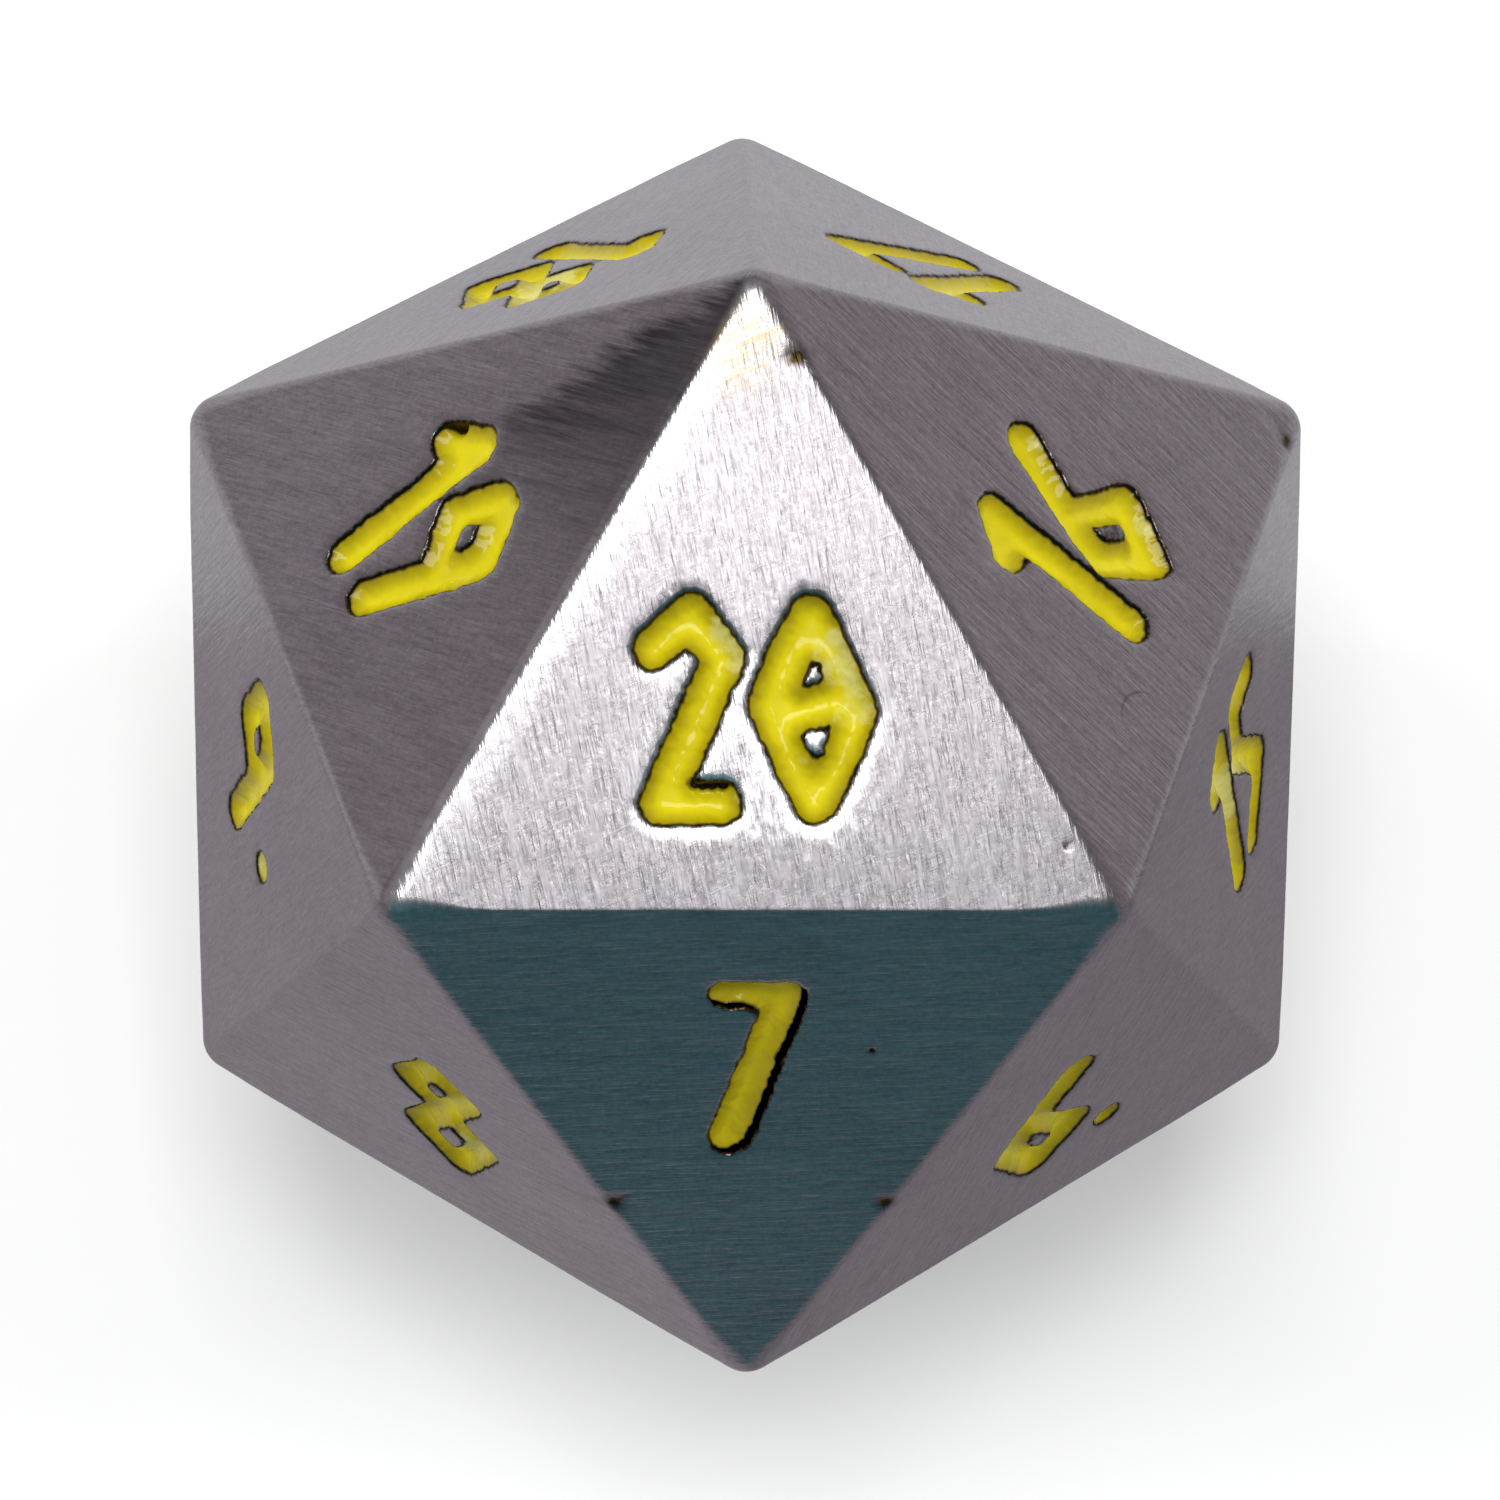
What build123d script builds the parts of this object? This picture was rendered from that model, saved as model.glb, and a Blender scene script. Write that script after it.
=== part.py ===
"""A metal twenty-sided countdown die with enamelled numerals, in millimetres.

The die stands on its 2 with the 20 on top. Z is up, Y points the way the 20 reads,
and the origin is the middle of the flat that it stands on. It is a solid metal body
with a groove for every digit, and one enamel inlay in each groove.
"""
import math
import os

from build123d import *

os.makedirs("parts", exist_ok=True)

# Driving dimensions.
across_flats = 22.0
edge_radius = 0.35
groove_depth = 0.45
enamel_recess = 0.07
dot_radius = 0.36

# An icosahedron's proportions, all from its height across the flats.
golden = (1 + math.sqrt(5)) / 2
flat_height = across_flats / 2
edge_length = flat_height * 2 * math.sqrt(3) / golden**2
cap_radius = edge_length / math.sqrt(3)
ring_radius = golden * cap_radius
corner_reach = edge_length / 2 * math.sqrt(golden * math.sqrt(5))
ring_height = math.sqrt(corner_reach**2 - ring_radius**2)
middle = Vector(0, 0, flat_height)


def corner(radius, azimuth, height):
    """A corner of the die, given by cylindrical coordinates about the die's middle."""
    angle = math.radians(azimuth)
    return middle + Vector(radius * math.cos(angle), radius * math.sin(angle), height)


corners = {
    "top_back": corner(cap_radius, 90, flat_height),
    "top_left": corner(cap_radius, 210, flat_height),
    "top_right": corner(cap_radius, 330, flat_height),
    "left": corner(ring_radius, 150, ring_height),
    "right": corner(ring_radius, 30, ring_height),
    "front": corner(ring_radius, 270, ring_height),
    "back": corner(ring_radius, 90, -ring_height),
    "low_left": corner(ring_radius, 210, -ring_height),
    "low_right": corner(ring_radius, 330, -ring_height),
    "base_left": corner(cap_radius, 150, -flat_height),
    "base_right": corner(cap_radius, 30, -flat_height),
    "base_front": corner(cap_radius, 270, -flat_height),
}

# The three corners of every flat. 20 to 16 go round one corner, 15 to 6 run round the
# die's waist, and 5 to 1 go round the opposite corner.
flats = {
    20: ("top_back", "top_left", "top_right"),
    19: ("top_back", "left", "top_left"),
    18: ("top_back", "back", "left"),
    17: ("top_back", "right", "back"),
    16: ("top_back", "top_right", "right"),
    15: ("top_right", "low_right", "right"),
    14: ("right", "low_right", "base_right"),
    13: ("right", "base_right", "back"),
    12: ("back", "base_right", "base_left"),
    11: ("back", "base_left", "left"),
    10: ("left", "base_left", "low_left"),
    9: ("top_left", "left", "low_left"),
    8: ("top_left", "low_left", "front"),
    7: ("front", "top_right", "top_left"),
    6: ("top_right", "front", "low_right"),
    5: ("base_front", "low_right", "front"),
    4: ("base_front", "front", "low_left"),
    3: ("base_front", "low_left", "base_left"),
    2: ("base_front", "base_left", "base_right"),
    1: ("base_front", "base_right", "low_right"),
}

# Where a numeral's middle sits on its flat, and the gap between its two digits. Numerals
# shift towards the wide side of their triangle, and the hand-set ones differ a little.
low_spot = (0.0, -0.15, 0.06)
high_spot = (0.0, 0.2, 0.06)
spots = {
    20: (0.02, -0.23, 0.04),
    19: (-0.07, -0.27, 0.12),
    18: (0.05, -0.1, 0.1),
    17: (0.0, -0.15, 0.1),
    16: (0.02, -0.27, 0.04),
    15: (0.05, 0.18, 0.06),
    14: low_spot,
    13: high_spot,
    12: low_spot,
    11: high_spot,
    10: low_spot,
    9: (-0.3, 0.42, 0.0),
    8: (0.13, 0.2, 0.0),
    7: (0.1, 0.13, 0.0),
    6: (-0.15, 0.1, 0.0),
    5: high_spot,
    4: high_spot,
    3: high_spot,
    2: high_spot,
    1: high_spot,
}

# Each digit is one or two cutter paths. A path's points give the middle of the stroke
# from the middle of the digit, and the stroke's half width there.
digits = {
    "0": [
        [
            (-0.04, 1.83, 0.44),
            (-0.53, 0.92, 0.46),
            (-0.86, 0.03, 0.43),
            (-0.46, -0.95, 0.37),
            (0.02, -1.85, 0.43),
            (0.56, -0.95, 0.37),
            (0.86, -0.08, 0.43),
            (0.44, 0.95, 0.36),
            (-0.04, 1.83, 0.44),
        ],
        [(-0.6, -0.17, 0.43), (0.5, 0.22, 0.43)],
    ],
    "1": [[(-0.39, 1.26, 0.43), (0.27, 1.84, 0.45), (0.29, 0.2, 0.41), (0.29, -1.85, 0.44)]],
    "2": [
        [
            (-0.68, 1.18, 0.43),
            (0.05, 1.87, 0.42),
            (0.68, 0.98, 0.43),
            (-0.55, -1.84, 0.43),
            (0.61, -1.85, 0.44),
        ]
    ],
    "3": [
        [
            (-0.66, 1.2, 0.42),
            (-0.02, 1.87, 0.42),
            (0.64, 1.08, 0.42),
            (0.0, 0.2, 0.4),
            (0.7, -0.8, 0.42),
            (-0.04, -1.86, 0.43),
            (-0.68, -1.22, 0.42),
        ]
    ],
    "4": [
        [(0.18, 1.86, 0.44), (-0.7, -0.62, 0.41), (0.74, -0.62, 0.41)],
        [(0.45, 0.55, 0.4), (0.16, -1.86, 0.43)],
    ],
    "5": [
        [
            (0.7, 1.88, 0.4),
            (-0.42, 1.88, 0.4),
            (-0.62, 0.75, 0.41),
            (0.68, -0.55, 0.43),
            (-0.42, -1.84, 0.43),
        ]
    ],
    "6": [
        [
            (0.35, 1.82, 0.47),
            (-0.62, 0.05, 0.37),
            (-0.84, -0.75, 0.43),
            (0.06, -1.86, 0.44),
            (0.85, -0.82, 0.43),
            (-0.36, 0.2, 0.33),
        ]
    ],
    "7": [[(-0.67, 1.92, 0.34), (0.58, 1.84, 0.42), (-0.52, -1.82, 0.44)]],
    "8": [
        [
            (-0.8, 1.0, 0.37),
            (-0.05, 1.9, 0.37),
            (0.76, 1.25, 0.37),
            (-0.82, -0.93, 0.38),
            (0.08, -1.9, 0.38),
            (0.88, -0.62, 0.37),
            (-0.8, 1.0, 0.37),
        ]
    ],
    "9": [
        [
            (-0.46, -1.78, 0.43),
            (0.76, 0.86, 0.44),
            (-0.02, 1.75, 0.43),
            (-0.27, 1.73, 0.43),
            (-0.76, 0.73, 0.42),
            (0.17, -0.27, 0.32),
        ]
    ],
}

# The dot that tells a 6 from a 9, from the middle of its digit.
dots = {6: (1.9, -1.55), 9: (1.5, -1.45)}


def flat_plane(value):
    """The plane of a flat, with Z out of the metal and Y the way its numeral reads up.

    Every numeral reads up towards the corner that 20, 19, 18, 17 and 16 share.
    """
    centre = sum((corners[name] for name in flats[value]), Vector()) / 3
    outward = (centre - middle).normalized()
    pole = (corners["top_back"] - middle).normalized()
    upward = pole - outward * pole.dot(outward)
    return Plane(origin=centre, x_dir=upward.cross(outward), z_dir=outward)


def shifted(plane, x, y):
    """The same plane with its origin moved to (x, y) on it."""
    return Plane(origin=plane.from_local_coords((x, y, 0)), x_dir=plane.x_dir, z_dir=plane.z_dir)


def digit_sides(digit):
    """The left and right limits of a digit, measured from its middle."""
    points = [point for path in digits[digit] for point in path]
    return min(x - r for x, _, r in points), max(x + r for x, _, r in points)


def digit_places(value):
    """The node name, digit and place of every digit on a flat."""
    x, y, gap = spots[value]
    text = str(value)
    if len(text) == 1:
        return [(f"enamel_{value}", text, x, y)]
    tens_left, tens_right = digit_sides(text[0])
    units_left, units_right = digit_sides(text[1])
    width = tens_right - tens_left + gap + units_right - units_left
    tens_x = x - width / 2 - tens_left
    units_x = x + width / 2 - units_right
    return [
        (f"enamel_{value}_tens", text[0], tens_x, y),
        (f"enamel_{value}_units", text[1], units_x, y),
    ]


def stroke_outline(start, end):
    """Draw one tapered stroke: two round ends joined by the two lines that touch both."""
    start_middle, start_radius = Vector(*start[:2]), start[2]
    end_middle, end_radius = Vector(*end[:2]), end[2]
    along = end_middle - start_middle
    lean = math.degrees(math.acos((start_radius - end_radius) / along.length))
    forward = along.normalized()
    left = forward.rotate(Axis.Z, lean)
    right = forward.rotate(Axis.Z, -lean)
    left_line = Line(start_middle + left * start_radius, end_middle + left * end_radius)
    right_line = Line(start_middle + right * start_radius, end_middle + right * end_radius)
    ThreePointArc(left_line @ 1, end_middle + forward * end_radius, right_line @ 1)
    ThreePointArc(left_line @ 0, start_middle - forward * start_radius, right_line @ 0)


def digit_outline(plane, digit):
    """One digit's outline, the union of its strokes."""
    with BuildSketch(plane) as outline:
        for path in digits[digit]:
            for start, end in zip(path, path[1:]):
                with BuildLine():
                    stroke_outline(start, end)
                make_face()
    return outline.sketch


def dot_outline(plane):
    """The round dot's outline."""
    with BuildSketch(plane) as outline:
        Circle(dot_radius)
    return outline.sketch


# --- the grooves' outlines, on the flats -----------------------------------------
outlines = {}
for value in flats:
    plane = flat_plane(value)
    for name, digit, x, y in digit_places(value):
        outlines[name] = (plane.z_dir, digit_outline(shifted(plane, x, y), digit))
    if value in dots:
        dot_x, dot_y = dots[value]
        spot_x, spot_y, _ = spots[value]
        dot_plane = shifted(plane, spot_x + dot_x, spot_y + dot_y)
        outlines[f"enamel_{value}_dot"] = (plane.z_dir, dot_outline(dot_plane))

# --- the body: a ball blank, milled flat twenty times, eased and engraved --------
with BuildPart() as die_body:
    with Locations(middle):
        Sphere(corner_reach + 1)
    for value in flats:
        split(bisect_by=flat_plane(value), keep=Keep.BOTTOM)
    fillet(die_body.edges(), edge_radius)
    for _, outline in outlines.values():
        extrude(outline, amount=-groove_depth, mode=Mode.SUBTRACT)
die_body.part.label = "die_body"
export_step(die_body.part, "parts/die_body.step")
print("edge", round(edge_length, 3), "corner to corner", round(2 * corner_reach, 3))

# --- the enamel: each inlay fills its groove from the floor to just below the flat
for name, (outward, outline) in outlines.items():
    with BuildPart() as inlay:
        extrude(outline.moved(Location(outward * -groove_depth)), amount=groove_depth - enamel_recess)
    inlay.part.label = name
    export_step(inlay.part, f"parts/{name}.step")
print("inlays", len(outlines))
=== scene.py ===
# %% [markdown]
# This lesson finishes a metal countdown die, about 22 mm across. The real one is milled
# from steel, brushed and engraved, and its grooves are filled with yellow enamel. The CAD
# frame gives its size, the place of every groove and the names of the pieces. The looks
# are worked out here: eased edges, ragged rims, dished enamel and brushing.

# %% The frame and the tools
import math

import bmesh
import bpy
import numpy as np
from mathutils import Matrix, Vector
from mathutils.geometry import delaunay_2d_cdt


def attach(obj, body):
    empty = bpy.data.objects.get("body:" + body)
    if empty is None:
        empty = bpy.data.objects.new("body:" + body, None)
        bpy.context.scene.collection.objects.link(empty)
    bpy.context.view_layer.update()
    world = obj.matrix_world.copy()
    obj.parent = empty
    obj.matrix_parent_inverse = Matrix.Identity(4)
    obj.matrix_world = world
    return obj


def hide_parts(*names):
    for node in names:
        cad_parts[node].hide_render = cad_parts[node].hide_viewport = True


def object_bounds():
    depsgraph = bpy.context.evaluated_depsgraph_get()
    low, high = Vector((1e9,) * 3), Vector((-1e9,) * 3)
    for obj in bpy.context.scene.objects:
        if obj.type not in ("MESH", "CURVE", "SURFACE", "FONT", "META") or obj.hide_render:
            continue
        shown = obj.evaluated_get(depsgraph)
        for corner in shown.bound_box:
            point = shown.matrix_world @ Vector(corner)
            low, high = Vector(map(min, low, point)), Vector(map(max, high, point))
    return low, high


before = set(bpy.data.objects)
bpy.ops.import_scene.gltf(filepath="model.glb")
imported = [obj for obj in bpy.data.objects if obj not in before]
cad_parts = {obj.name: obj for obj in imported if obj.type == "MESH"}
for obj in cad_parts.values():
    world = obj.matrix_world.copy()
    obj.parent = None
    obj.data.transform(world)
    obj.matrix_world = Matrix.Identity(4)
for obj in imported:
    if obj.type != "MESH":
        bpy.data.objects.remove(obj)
cad_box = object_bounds()
MM = 0.001
print("pieces in the frame:", len(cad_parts))

# %% [markdown]
# The die is a regular solid of twenty triangles, and it stands on one of them. Its corners
# could be typed in as a list, but they all follow from one size: the distance between two
# opposite flats, which is the die's height. Points are kept in millimetres from the die's
# middle until a mesh is made.

# %% The twelve corners
golden = (1 + math.sqrt(5)) / 2
flat_height = (cad_box[1].z - cad_box[0].z) / 2 / MM
middle = np.array([0, 0, flat_height])
edge_length = flat_height * 2 * math.sqrt(3) / golden**2
cap_radius = edge_length / math.sqrt(3)
ring_radius = golden * cap_radius
corner_reach_squared = edge_length**2 / 4 * golden * math.sqrt(5)
ring_height = math.sqrt(corner_reach_squared - ring_radius**2)


def around(radius, azimuths, height):
    """Points on a circle: radius times cosine and sine of each azimuth, at one height."""
    angles = np.radians(azimuths)
    return np.stack([radius * np.cos(angles), radius * np.sin(angles), 0 * angles + height], axis=1)


cap = around(cap_radius, (90, 210, 330), flat_height)
ring = around(ring_radius, (150, 30, 270), ring_height)
corners = np.vstack([cap, ring, -cap, -ring])
print("edge length", round(edge_length, 3), "mm")

# %% The thirty edges and the twenty flats
spans = np.linalg.norm(corners[:, None] - corners[None], axis=2)
joined = np.isclose(spans, edge_length, rtol=1e-3)
edges = np.argwhere(np.triu(joined))
flats = np.array([(i, j, k) for i, j in edges for k in range(j + 1, 12) if joined[i, k] and joined[j, k]])


def unit(vectors):
    """Each vector divided by its own length."""
    return vectors / np.linalg.norm(vectors, axis=-1, keepdims=True)


outward = unit(corners[flats].sum(axis=1))
pole = unit(corners[0])
upward = unit(pole - (outward @ pole)[:, None] * outward)
axes = np.stack([np.cross(upward, outward), upward, outward], axis=1)
print("edges", len(edges), "flats", len(flats))

# %% [markdown]
# Each numeral is a groove milled into a flat. Its outline could be drawn again here, but
# then it could drift from the CAD, so it is read from the CAD inlay that fills it. The top
# of an inlay is flat, and a side that only one of the top's triangles has is part of the
# outline.


# %% Outlines from the frame
TOP_TOLERANCE = 0.01


def node_triangles(name):
    """The corners of a node's triangles, in millimetres from the die's middle."""
    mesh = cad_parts[name].data
    mesh.calc_loop_triangles()
    places = np.empty(len(mesh.vertices) * 3)
    mesh.vertices.foreach_get("co", places)
    picks = np.empty(len(mesh.loop_triangles) * 3, dtype=np.int32)
    mesh.loop_triangles.foreach_get("vertices", picks)
    return places.reshape(-1, 3)[picks].reshape(-1, 3, 3) / MM - middle


def unshared(sides):
    """Whether each side has no twin that joins the same two points the other way."""
    count = sides.max() + 1
    one_way = sides[:, 0] * count + sides[:, 1]
    other_way = sides[:, 1] * count + sides[:, 0]
    return ~np.isin(one_way, other_way)


def outline_of(name):
    """The flat that a groove is in, and its outline as a list of (start, end) sides."""
    triangles = node_triangles(name)
    flat = int(np.argmax(outward @ triangles.mean(axis=(0, 1))))
    local = triangles @ axes[flat].T
    level = local[:, :, 2].max() - TOP_TOLERANCE
    top = local[(local[:, :, 2] > level).all(axis=1)][:, :, :2]
    ends = np.stack([top, np.roll(top, -1, axis=1)], axis=2).reshape(-1, 2)
    _, marks = np.unique(np.round(ends, 3), axis=0, return_inverse=True)
    return flat, ends.reshape(-1, 2, 2)[unshared(marks.reshape(-1, 2))]


grooves = {name: outline_of(name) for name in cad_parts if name.startswith("enamel")}
value_on = {flat: int(name.split("_")[1]) for name, (flat, _) in grooves.items()}
flat_of = {value: flat for flat, value in value_on.items()}
print("grooves", len(grooves), "numbers", sorted(flat_of))

# %% [markdown]
# A Boolean could cut the grooves, but its walls would be upright and its rims as clean as
# a drawing. On the real die the rims are burred and the inner corners are as round as the
# cutter. So each groove becomes a field on a fine grid over its flat: the distance from
# the outline, negative inside. A little blur rounds the corners, and a little noise makes
# the rim ragged.

# %% Distance fields
GRID_STEP = 0.05
GRID_HALF = 3.3
CUTTER_BLUR = 4
COARSE_BLUR = 10
FINE_BLUR = 1
RAGGED_BY = 0.012
LEVEL_SIDE = 1e-9
line = np.arange(-GRID_HALF, GRID_HALF + GRID_STEP / 2, GRID_STEP)
grid_x, grid_y = np.meshgrid(line, line)
grid_points = np.stack([grid_x.ravel(), grid_y.ravel()], axis=1)


def blurred(field, times):
    """Each cell averaged with its neighbours, one part, two parts, one part, both ways."""
    for _ in range(times):
        padded = np.pad(field, 1, mode="edge")
        across = padded[:, :-2] + 2 * padded[:, 1:-1] + padded[:, 2:]
        field = (across[:-2] + 2 * across[1:-1] + across[2:]) / 16
    return field


def raggedness(seed):
    """Random numbers blurred a lot plus random numbers blurred a little, both scaled to
    the same spread, for the burrs along a cut rim."""
    draw = np.random.default_rng(seed)
    coarse = blurred(draw.normal(size=grid_x.shape), COARSE_BLUR)
    fine = blurred(draw.normal(size=grid_x.shape), FINE_BLUR)
    return RAGGED_BY * coarse / coarse.std() + RAGGED_BY * fine / fine.std()


def distance_field(sides):
    """How far each grid point is from the nearest side, negative if an odd number of
    sides lie to its right."""
    start, end = sides[:, 0], sides[:, 1]
    along = end - start
    offset = grid_points[:, None] - start
    share = np.clip((offset * along).sum(axis=2) / (along**2).sum(axis=1), 0, 1)
    distance = np.linalg.norm(offset - share[..., None] * along, axis=2).min(axis=1)
    y = grid_points[:, 1, None]
    spans_y = (start[:, 1] > y) != (end[:, 1] > y)
    rise = np.where(np.abs(along[:, 1]) < LEVEL_SIDE, LEVEL_SIDE, along[:, 1])
    crossing = start[:, 0] + (y - start[:, 1]) / rise * along[:, 0]
    inside = (spans_y & (grid_points[:, 0, None] < crossing)).sum(axis=1) % 2 == 1
    return np.where(inside, -distance, distance).reshape(grid_x.shape)


def groove_field(flat, sides):
    """The distance field of an outline, blurred, plus the raggedness of its flat."""
    return blurred(distance_field(sides), CUTTER_BLUR) + ragged[flat]


ragged = {flat: raggedness(value) for flat, value in value_on.items()}
fields = {name: groove_field(flat, sides) for name, (flat, sides) in grooves.items()}
print("fields", len(fields), "of", grid_x.shape)

# %% [markdown]
# Lines of equal distance give the rim, the wall and the edge of the enamel, and they never
# cross each other. They are found by marching triangles: the grid's cells are halved, and
# a level that passes between two ends of a side cuts that side. Points and lines are then
# joined up into triangles that keep every line as a side.


# %% Reading a field
def field_at(field, points):
    """The field between grid points, weighted by nearness to the four around each."""
    place = (points + GRID_HALF) / GRID_STEP
    cell = np.clip(np.floor(place).astype(int), 0, len(line) - 2)
    share = np.clip(place - cell, 0, 1)
    column, row = cell.T
    low = field[row, column] * (1 - share[:, 0]) + field[row, column + 1] * share[:, 0]
    high = field[row + 1, column] * (1 - share[:, 0]) + field[row + 1, column + 1] * share[:, 0]
    return low * (1 - share[:, 1]) + high * share[:, 1]


# %% Lines of equal distance
def grid_sides(step):
    """The three sides of each half of a grid cell, for every cell of step by step points."""
    index = np.arange(grid_x.size).reshape(grid_x.shape)[::step, ::step]
    a, b, c, d = index[:-1, :-1], index[:-1, 1:], index[1:, :-1], index[1:, 1:]
    halves = [np.stack(half, axis=-1).reshape(-1, 3) for half in ((a, b, c), (b, d, c))]
    triangles = np.concatenate(halves)
    return np.stack([triangles, np.roll(triangles, -1, axis=1)], axis=2)


sides_by_step = {step: grid_sides(step) for step in (1, 2, 4)}
print("triangles in the grid", {step: len(sides) for step, sides in sides_by_step.items()})


def contour(field, level, step=1):
    """Marching triangles: a cut point divides its side as the level divides the values at
    the side's ends. Gives the cut points, and pairs of them joined by the line."""
    value = field.ravel() - level
    above = value > 0
    sides = sides_by_step[step]
    crossed = above[sides[..., 0]] != above[sides[..., 1]]
    cut = crossed.any(axis=1)
    pairs = np.sort(sides[cut][crossed[cut]], axis=1)
    keys, links = np.unique(pairs, axis=0, return_inverse=True)
    start, end = value[keys[:, 0]], value[keys[:, 1]]
    share = (start / (start - end))[:, None]
    points = grid_points[keys[:, 0]] * (1 - share) + grid_points[keys[:, 1]] * share
    return points, links.reshape(-1, 2)


# %% Triangles between the lines
NO_LINKS = np.zeros((0, 2), dtype=int)
SAME_POINT = 1e-5


def triangulated(point_sets, link_sets):
    """Triangles between the points, with every link kept as a side."""
    starts = np.cumsum([0] + [len(points) for points in point_sets[:-1]])
    points = np.concatenate(point_sets)
    links = np.concatenate([link + start for link, start in zip(link_sets, starts)])
    found = delaunay_2d_cdt([Vector(p) for p in points], links.tolist(), [], 1, SAME_POINT, False)
    return np.array([tuple(v) for v in found[0]]), np.array(found[2])


def counter_clockwise(points, triangles):
    """The triangles, with those that turn clockwise turned round."""
    a, b, c = (points[triangles[:, i]] for i in range(3))
    turn = (b[:, 0] - a[:, 0]) * (c[:, 1] - a[:, 1]) - (b[:, 1] - a[:, 1]) * (c[:, 0] - a[:, 0])
    return np.where((turn < 0)[:, None], triangles[:, ::-1], triangles)


def on_flat(flat, points, heights):
    """Points on a flat's own plane, raised by heights, as places from the die's middle."""
    lifted = np.column_stack([points, heights + flat_height])
    return lifted @ axes[flat]


def spot_on(value, x, y):
    """One place on a number's flat, as a place from the die's middle."""
    return on_flat(flat_of[value], np.array([[x, y]]), np.zeros(1))[0]


# %% [markdown]
# The real edges are worn round. A bevel would give them all one width, but wear is
# uneven. So they are eased by a ball that rolls along each edge and touches both flats.
# The ball grows towards the corners, which wear most, and it wavers a little on the way,
# so each edge catches the light unevenly. The edge below the 20 stayed sharper.

# %% Eased edges
EDGE_RADIUS = 0.34
SHARP_RADIUS = 0.13
SHARP_BETWEEN = {20, 7}
CORNER_RADIUS = 0.72
WEAR_REACH = 0.9
WAVER = 0.07
ALONG = 80
ACROSS = 6
flat_gap = math.acos(outward[0] @ outward[np.argsort(outward @ outward[0])[-2]])


def turned(first, second, share):
    """Directions from one normal to the next, at even angles."""
    parts = np.sin((1 - share) * flat_gap)[:, None] * first + np.sin(share * flat_gap)[:, None] * second
    return parts / math.sin(flat_gap)


def wavering(seed, count):
    """A sum of sine waves of random height, with 3 to 25 half waves along the edge, so it
    is zero at both ends."""
    draw = np.random.default_rng(seed)
    share = np.linspace(0, math.pi, count)
    waves = [draw.normal() * np.sin(share * k) / math.sqrt(k) for k in range(3, 26)]
    return np.sum(waves, axis=0)


def eased_edge(number):
    """The strip along one edge: the ball's centre on its path, plus its radius times the
    directions from one flat's normal to the other's."""
    start, end = corners[edges[number]]
    sides = np.flatnonzero([set(edges[number]) <= set(flat) for flat in flats])
    first, second = outward[sides]
    inset = (first + second) / (1 + first @ second)
    ball = start * (1 - CORNER_RADIUS / flat_height) + CORNER_RADIUS * inset
    trim = (ball - start) @ unit(end - start)
    share = np.linspace(0, 1, ALONG)
    distance = trim + share * (edge_length - 2 * trim)
    from_corner = np.minimum(share, 1 - share) * (edge_length - 2 * trim)
    worn = np.exp(-((from_corner / WEAR_REACH) ** 2))
    between = {value_on[side] for side in sides}
    usual = SHARP_RADIUS if between == SHARP_BETWEEN else EDGE_RADIUS
    radius = usual + (CORNER_RADIUS - usual) * worn
    radius = radius * (1 + WAVER * wavering(number, ALONG) * (1 - worn))
    centre = start + distance[:, None] * unit(end - start) - radius[:, None] * inset
    normals = turned(first, second, np.linspace(0, 1, ACROSS))
    return sides, centre[:, None] + radius[:, None, None] * normals


strips = [eased_edge(number) for number in range(len(edges))]
print("strips", len(strips))

# %% Eased corners
PATCH_ROWS = 6


def eased_corner(number):
    """The patch on one corner: a fifth of a ball between each two neighbouring flats,
    from the corner's own direction out to the ends of the strips."""
    tip = unit(corners[number])
    sides = np.flatnonzero((flats == number).any(axis=1))
    neighbours = [(a, b) for a in sides for b in sides if a < b]
    centre = corners[number] * (1 - CORNER_RADIUS / flat_height)
    share = np.linspace(0, 1, PATCH_ROWS)[:, None, None]
    fifths = []
    for a, b in neighbours:
        if outward[a] @ outward[b] > math.cos(flat_gap) - 0.01:
            rim = turned(outward[a], outward[b], np.linspace(0, 1, ACROSS))
            fifths.append(centre + CORNER_RADIUS * unit(tip * (1 - share) + rim * share))
    return fifths


corner_patches = [fifth for number in range(len(corners)) for fifth in eased_corner(number)]
print("corner patches", len(corner_patches))

# %% [markdown]
# A die that has been played with has small dents. They could be painted on, but a real
# hollow also bends the highlights, so each one is a soft bell-shaped hollow in the mesh.
# The flats need closer points there, or the hollow would be lost between them.

# %% Dents
# Number of the flat, place on it, radius and depth, all in millimetres.
dents = (
    (20, 0.86, 6.72, 0.17, 0.07),
    (20, 6.13, -2.9, 0.07, 0.04),
    (7, 2.39, 0.63, 0.07, 0.05),
    (7, 2.8, -3.48, 0.16, 0.1),
    (7, -2.76, -3.46, 0.16, 0.1),
    (16, 6.2, -4.1, 0.15, 0.07),
    (13, 3.6, 1.2, 0.1, 0.05),
    (4, -2.2, -4.0, 0.12, 0.07),
    (11, 1.0, -5.2, 0.14, 0.06),
    (2, 5.4, 3.1, 0.11, 0.05),
)
DENT_BELOW = 0.3
INSIDE_BORDER = 0.985
dent_line = np.linspace(-2.4, 2.4, 13)
dent_x, dent_y = np.meshgrid(dent_line, dent_line)
dent_pattern = np.stack([dent_x.ravel(), dent_y.ravel()], axis=1)
print("dents", len(dents), "with", len(dent_pattern), "extra points round each")


def inside_loop(points, loop):
    """Whether each point is to the same side of every side of a convex loop."""
    ahead = np.roll(loop, -1, axis=0) - loop
    offset = points[:, None] - loop
    side = ahead[:, 0] * offset[..., 1] - ahead[:, 1] * offset[..., 0]
    return (side > 0).all(axis=1) | (side < 0).all(axis=1)


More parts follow.
